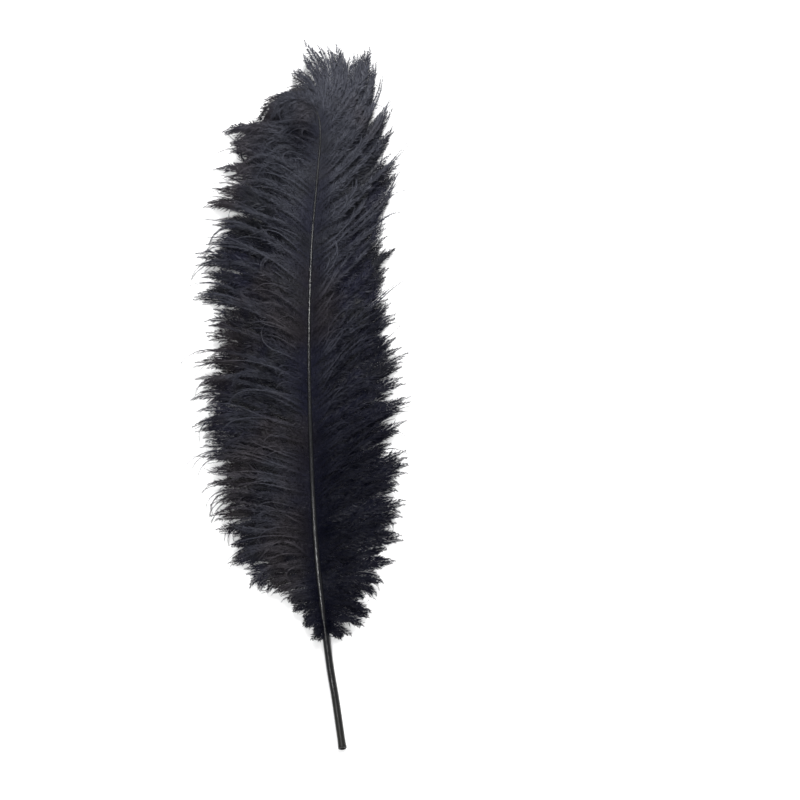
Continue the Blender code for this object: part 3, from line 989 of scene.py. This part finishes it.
def make_shaft(material):
    """The shaft, from the slanting hollow cut at the quill's end to a hair at the head."""
    turns = np.arange(SHAFT_SIDES) / SHAFT_SIDES
    rings, ends, run = shaft_rings(turns)
    total = len(rings)
    vertices = np.concatenate((rings.reshape(-1, 3), ends))
    vertices[:, 2] = np.maximum(vertices[:, 2], 0.0)
    index = np.arange(total * SHAFT_SIDES).reshape(total, SHAFT_SIDES)
    near = index[:-1]
    far = index[1:]
    near_next = np.roll(near, -1, axis=1)
    far_next = np.roll(far, -1, axis=1)
    bore_end = np.full(SHAFT_SIDES, total * SHAFT_SIDES)
    triangles = np.concatenate((
        np.stack((near, near_next, far_next), axis=-1).reshape(-1, 3),
        np.stack((near, far_next, far), axis=-1).reshape(-1, 3),
        np.stack((near_next[0], near[0], bore_end), axis=-1),
        np.stack((far[-1], far_next[-1], bore_end + 1), axis=-1),
    ))
    run = np.concatenate((np.repeat(run, SHAFT_SIDES), (0.0, run[-1])))
    turn = np.concatenate((np.tile(np.abs(turns * 2.0 - 1.0), total), (0.5, 0.5)))
    level = np.concatenate((np.repeat(np.linspace(0.0, 1.0, total), SHAFT_SIDES), (0.0, 1.0)))
    uv = np.stack((turn, level), axis=-1) * (1.0 - 2.0 * MAP_EDGE) + MAP_EDGE
    dress(make_mesh("shaft", vertices, triangles, {"run": run, "turn": turn}, uv, material))


class FeatherVaneSettings(bpy.types.PropertyGroup):
    barbs_a_strand: IntProperty(
        name="Barbs a wisp", description="How many barbs cling together in one wisp",
        default=4, min=2, max=8,
    )
    under_barbs: IntProperty(
        name="Barbs between", description="How many barbs lie below, between two wisps",
        default=3, min=1, max=8,
    )
    barbules_a_mm: FloatProperty(
        name="Barbules a millimetre", description="How many barbules grow on each millimetre of a barb",
        default=6.2, min=1.0, max=14.0,
    )
    stray_share: FloatProperty(
        name="Stray barbules", description="Share of the barbules that stand off from their barb",
        default=0.14, min=0.0, max=1.0, subtype="FACTOR",
    )
    barbule_length: FloatProperty(
        name="Barbule length", description="Length of the longest barbules", default=3.6 * MM,
        min=1.0 * MM, max=8.0 * MM, subtype="DISTANCE", unit="LENGTH",
    )
    barbule_width: FloatProperty(
        name="Barbule width", description="Width of a barbule at its middle", default=0.19 * MM,
        min=0.02 * MM, max=0.4 * MM, subtype="DISTANCE", unit="LENGTH",
    )
    blue_black: FloatVectorProperty(
        name="Blue black", description="The dye where it looks blue", default=(0.0076, 0.0079, 0.0185),
        size=3, min=0.0, max=1.0, subtype="COLOR",
    )
    neutral_black: FloatVectorProperty(
        name="Neutral black", description="The dye where it looks neutral", default=(0.0088, 0.0093, 0.0125),
        size=3, min=0.0, max=1.0, subtype="COLOR",
    )
    brown_black: FloatVectorProperty(
        name="Brown black", description="The dye where it looks brownish", default=(0.0125, 0.0098, 0.0105),
        size=3, min=0.0, max=1.0, subtype="COLOR",
    )
    # The colour of the painted shade: low on the right, beside the shaft, in dips between the wisps and in
    # the hollow below the crooked head
    painted_shade_black: FloatVectorProperty(
        name="Deep black", description="The dye where it looks deepest", default=(0.001, 0.0014, 0.0066),
        size=3, min=0.0, max=1.0, subtype="COLOR",
    )
    # This paler grey is worn barbs and also painted light: paler toward the head, on raised wisps and free
    # barbs, and on the crest round the crooked head
    worn_grey_and_painted_light: FloatVectorProperty(
        name="Worn grey", description="Paler barbs, most at the head", default=(0.039, 0.041, 0.0535),
        size=3, min=0.0, max=1.0, subtype="COLOR",
    )
    # This paler brown is worn barbs and also painted light, where the dye looks brownish
    worn_brown_and_painted_light: FloatVectorProperty(
        name="Worn brown", description="Paler barbs where the dye looks brownish",
        default=(0.043, 0.0375, 0.0425), size=3, min=0.0, max=1.0, subtype="COLOR",
    )


class FeatherShaftSettings(bpy.types.PropertyGroup):
    horn_black: FloatVectorProperty(
        name="Horn black", description="The dyed shaft", default=(0.0022, 0.0023, 0.0031),
        size=3, min=0.0, max=1.0, subtype="COLOR",
    )
    horn_grey: FloatVectorProperty(
        name="Horn grey", description="Paler streaks in the shaft", default=(0.008, 0.0084, 0.0102),
        size=3, min=0.0, max=1.0, subtype="COLOR",
    )
    horn_olive: FloatVectorProperty(
        name="Horn olive", description="Thin dye at the bare end", default=(0.0075, 0.0072, 0.0054),
        size=3, min=0.0, max=1.0, subtype="COLOR",
    )


class FeatherStageSettings(bpy.types.PropertyGroup):
    key_power: FloatProperty(
        name="Key light", description="Power of the soft light above and beyond the head",
        default=19.0, min=0.0, subtype="POWER", unit="POWER",
    )
    upper_glint: FloatProperty(
        name="Upper glint", description="Power of the narrow light that glints on the shaft's upper part",
        default=3.6, min=0.0, subtype="POWER", unit="POWER",
    )
    lower_glint: FloatProperty(
        name="Lower glint", description="Power of the narrow light that glints on the shaft's lower part",
        default=3.6, min=0.0, subtype="POWER", unit="POWER",
    )
    fill: FloatProperty(
        name="Fill", description="Strength of the even light from all round", default=0.52, min=0.0, max=4.0,
    )
    floor_colour: FloatVectorProperty(
        name="Floor", description="Colour of the plain floor", default=(0.9, 0.9, 0.9),
        size=3, min=0.0, max=1.0, subtype="COLOR",
    )


class FEATHER_OT_shaft(bpy.types.Operator):
    """Build the glossy shaft with its slanting hollow end"""

    bl_idname = "feather.shaft"
    bl_label = "Shaft"

    def execute(self, context):
        make_shaft(shaft_paint(context.scene.feather_shaft))
        return {"FINISHED"}


class FEATHER_OT_vane(bpy.types.Operator):
    """Grow the barbs and barbules of the vane, in four stretches a side"""

    bl_idname = "feather.vane"
    bl_label = "Vane"

    def execute(self, context):
        settings = context.scene.feather_vane
        material = plumage_paint(settings)
        for number, (word, first, last) in enumerate(STRETCHES):
            for side, hand in ((-1, "left"), (1, "right")):
                seed = FIRST_SEED + number * 2 + (side > 0)
                make_vane(f"vane_{hand}_{word}", side, range(first, last), settings, material, seed)
        return {"FINISHED"}


class FEATHER_OT_stage(bpy.types.Operator):
    """Set up the plain floor, the soft light and the camera straight above"""

    bl_idname = "feather.stage"
    bl_label = "Stage"

    def execute(self, context):
        settings = context.scene.feather_stage
        make_floor(settings)
        make_lights(settings)
        make_camera()
        return {"FINISHED"}


def make_floor(settings):
    paint = Paint("plain_floor")
    paint.set(Base_Color=(*settings.floor_colour, 1.0), Roughness=0.9, Specular_IOR_Level=0.1)
    corners = np.array(((-1.0, -1.0, 0.0), (1.0, -1.0, 0.0), (1.0, 1.0, 0.0), (-1.0, 1.0, 0.0))) * FLOOR_HALF
    faces = np.array(((0, 1, 2), (0, 2, 3)))
    floor = make_mesh("floor", corners, faces, {}, corners[:, :2], paint.material, smooth=False)


def make_lights(settings):
    world = bpy.data.worlds.new("even_light")
    world.use_nodes = True
    background = world.node_tree.nodes["Background"]
    background.inputs["Color"].default_value = (1.0, 1.0, 1.0, 1.0)
    background.inputs["Strength"].default_value = settings.fill
    bpy.context.scene.world = world
    for name, power, size, place in LIGHTS:
        lamp = bpy.data.lights.new(name, "AREA")
        lamp.energy = getattr(settings, power)
        lamp.shape = "RECTANGLE"
        lamp.size, lamp.size_y = size
        obj = put_in_scene(name, lamp)
        obj.location = place
        obj.rotation_euler = (-Vector(place)).to_track_quat("-Z", "Y").to_euler()


def make_camera():
    """Looks straight down on the floor, so that the feather is where it is in the photograph."""
    camera = bpy.data.cameras.new("camera")
    camera.lens = LENS
    camera.sensor_width = SENSOR
    obj = put_in_scene("camera", camera)
    half = PICTURE_SIDE / 2
    obj.location = (
        QUILL_END[0] + (half - QUILL_PIXEL[0]) * PIXEL,
        QUILL_END[1] + (QUILL_PIXEL[1] - half) * PIXEL,
        PICTURE_SIDE * PIXEL * LENS / SENSOR,
    )
    bpy.context.scene.camera = obj
    bpy.context.scene.view_settings.view_transform = "Standard"


class FEATHER_PT_panel(bpy.types.Panel):
    """Lists the steps that dress the feather, with their sizes and colours"""

    bl_idname = "FEATHER_PT_panel"
    bl_label = "Ostrich Feather"
    bl_space_type = "VIEW_3D"
    bl_region_type = "UI"
    bl_category = "Feather"

    def draw(self, context):
        for operator, settings in STEPS:
            box = self.layout.box()
            box.operator(operator.bl_idname)
            group = getattr(context.scene, settings)
            for name in group.bl_rna.properties.keys():
                if name not in {"rna_type", "name"}:
                    box.prop(group, name)


SETTINGS = {
    "feather_shaft": FeatherShaftSettings,
    "feather_vane": FeatherVaneSettings,
    "feather_stage": FeatherStageSettings,
}
STEPS = (
    (FEATHER_OT_shaft, "feather_shaft"),
    (FEATHER_OT_vane, "feather_vane"),
    (FEATHER_OT_stage, "feather_stage"),
)


def register():
    for name, group in SETTINGS.items():
        bpy.utils.register_class(group)
        setattr(bpy.types.Scene, name, PointerProperty(type=group))
    for operator, settings in STEPS:
        bpy.utils.register_class(operator)
    bpy.utils.register_class(FEATHER_PT_panel)


def unregister():
    bpy.utils.unregister_class(FEATHER_PT_panel)
    for operator, settings in reversed(STEPS):
        bpy.utils.unregister_class(operator)
    for name, group in SETTINGS.items():
        delattr(bpy.types.Scene, name)
        bpy.utils.unregister_class(group)


def main():
    """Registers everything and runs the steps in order."""
    register()
    bpy.ops.feather.shaft()
    bpy.ops.feather.vane()
    bpy.ops.feather.stage()


if __name__ == "__main__":
    main()
